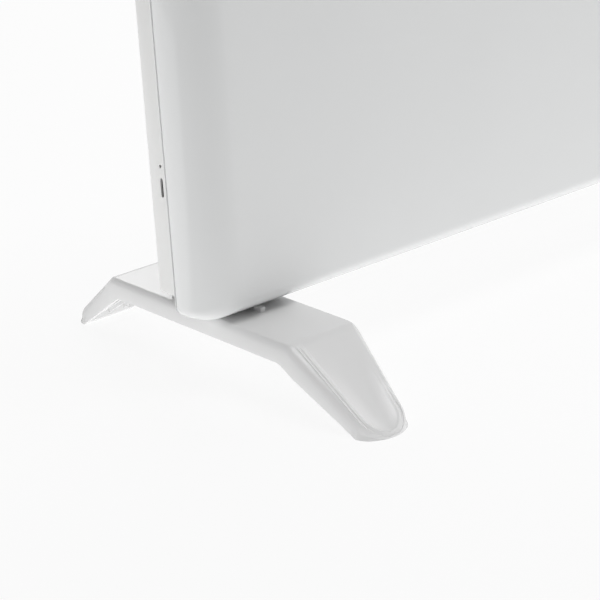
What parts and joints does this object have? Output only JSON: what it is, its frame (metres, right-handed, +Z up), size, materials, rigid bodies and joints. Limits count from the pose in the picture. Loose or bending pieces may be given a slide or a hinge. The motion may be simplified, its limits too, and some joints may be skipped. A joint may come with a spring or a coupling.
{
  "type": "panel convector heater",
  "caption": "Flat white panel convector heater with a rolled front cover over a narrower rear housing, standing on splayed moulded feet, with a thermostat knob and a rocker on top.",
  "frame": {"origin": "on the floor, below the middle of the heater's width and depth", "axes": "+X along the width, towards the controls; +Y to the rear; +Z up"},
  "size_m": [0.64, 0.3018, 0.4655],
  "materials": {
    "cover_paint": "smooth semi-gloss white powder coat",
    "housing_paint": "satin white powder coat",
    "foot_plastic": "white moulded plastic, semi-gloss",
    "grille_plastic": "white moulded plastic, fine texture",
    "fin_aluminium": "bare aluminium",
    "sheath_steel": "dull heater sheath",
    "terminal_brass": "bare brass",
    "bush_ceramic": "unglazed ceramic",
    "bracket_steel": "zinc-plated sheet",
    "control_plastic": "white moulded plastic, fine texture",
    "knob_plastic": "white moulded plastic, satin",
    "switch_plastic": "black moulded plastic",
    "pilot_lens": "clear tinted lens",
    "screw_steel": "zinc-plated"
  },
  "bodies": {
    "heater": {"front_cover": "cover_paint", "rear_housing": "housing_paint", "outlet_grille": "grille_plastic", "intake_grille": "housing_paint", "foot_left": "foot_plastic", "foot_right": "foot_plastic", "heating_element": "fin_aluminium", "element_sheath": "sheath_steel", "terminal_pin_left": "terminal_brass", "terminal_pin_right": "terminal_brass", "element_bush_left": "bush_ceramic", "element_bush_right": "bush_ceramic", "element_bracket_left": "bracket_steel", "element_bracket_right": "bracket_steel", "heat_shield": "fin_aluminium", "thermal_cutout": "switch_plastic", "control_box": "control_plastic", "control_fascia": "control_plastic", "thermostat_body": "bracket_steel", "rocker_frame": "switch_plastic", "pilot_lens": "pilot_lens", "terminal_block": "bush_ceramic", "cord_gland": "control_plastic", "gland_nut": "control_plastic", "cover_screw_1": "screw_steel", "cover_screw_2": "screw_steel", "cover_screw_3": "screw_steel", "cover_screw_4": "screw_steel", "cover_screw_5": "screw_steel", "cover_screw_6": "screw_steel", "foot_screw_1": "screw_steel", "foot_screw_2": "screw_steel", "foot_screw_3": "screw_steel", "foot_screw_4": "screw_steel"},
    "thermostat_dial": {"thermostat_knob": "knob_plastic", "thermostat_shaft": "bracket_steel"},
    "rocker": {"power_rocker": "switch_plastic"}
  },
  "joints": [
    {"name": "thermostat_turn", "type": "hinge", "parent": "heater", "child": "thermostat_dial", "pos_m": [0.276, 0.0137, 0.452], "axis": [0, 0, -1], "range_deg": [0, 300]},
    {"name": "power_rocker_tilt", "type": "hinge", "parent": "heater", "child": "rocker", "pos_m": [0.24, 0.0137, 0.4501], "axis": [0, -1, 0], "range_deg": [0, 22]}
  ]
}
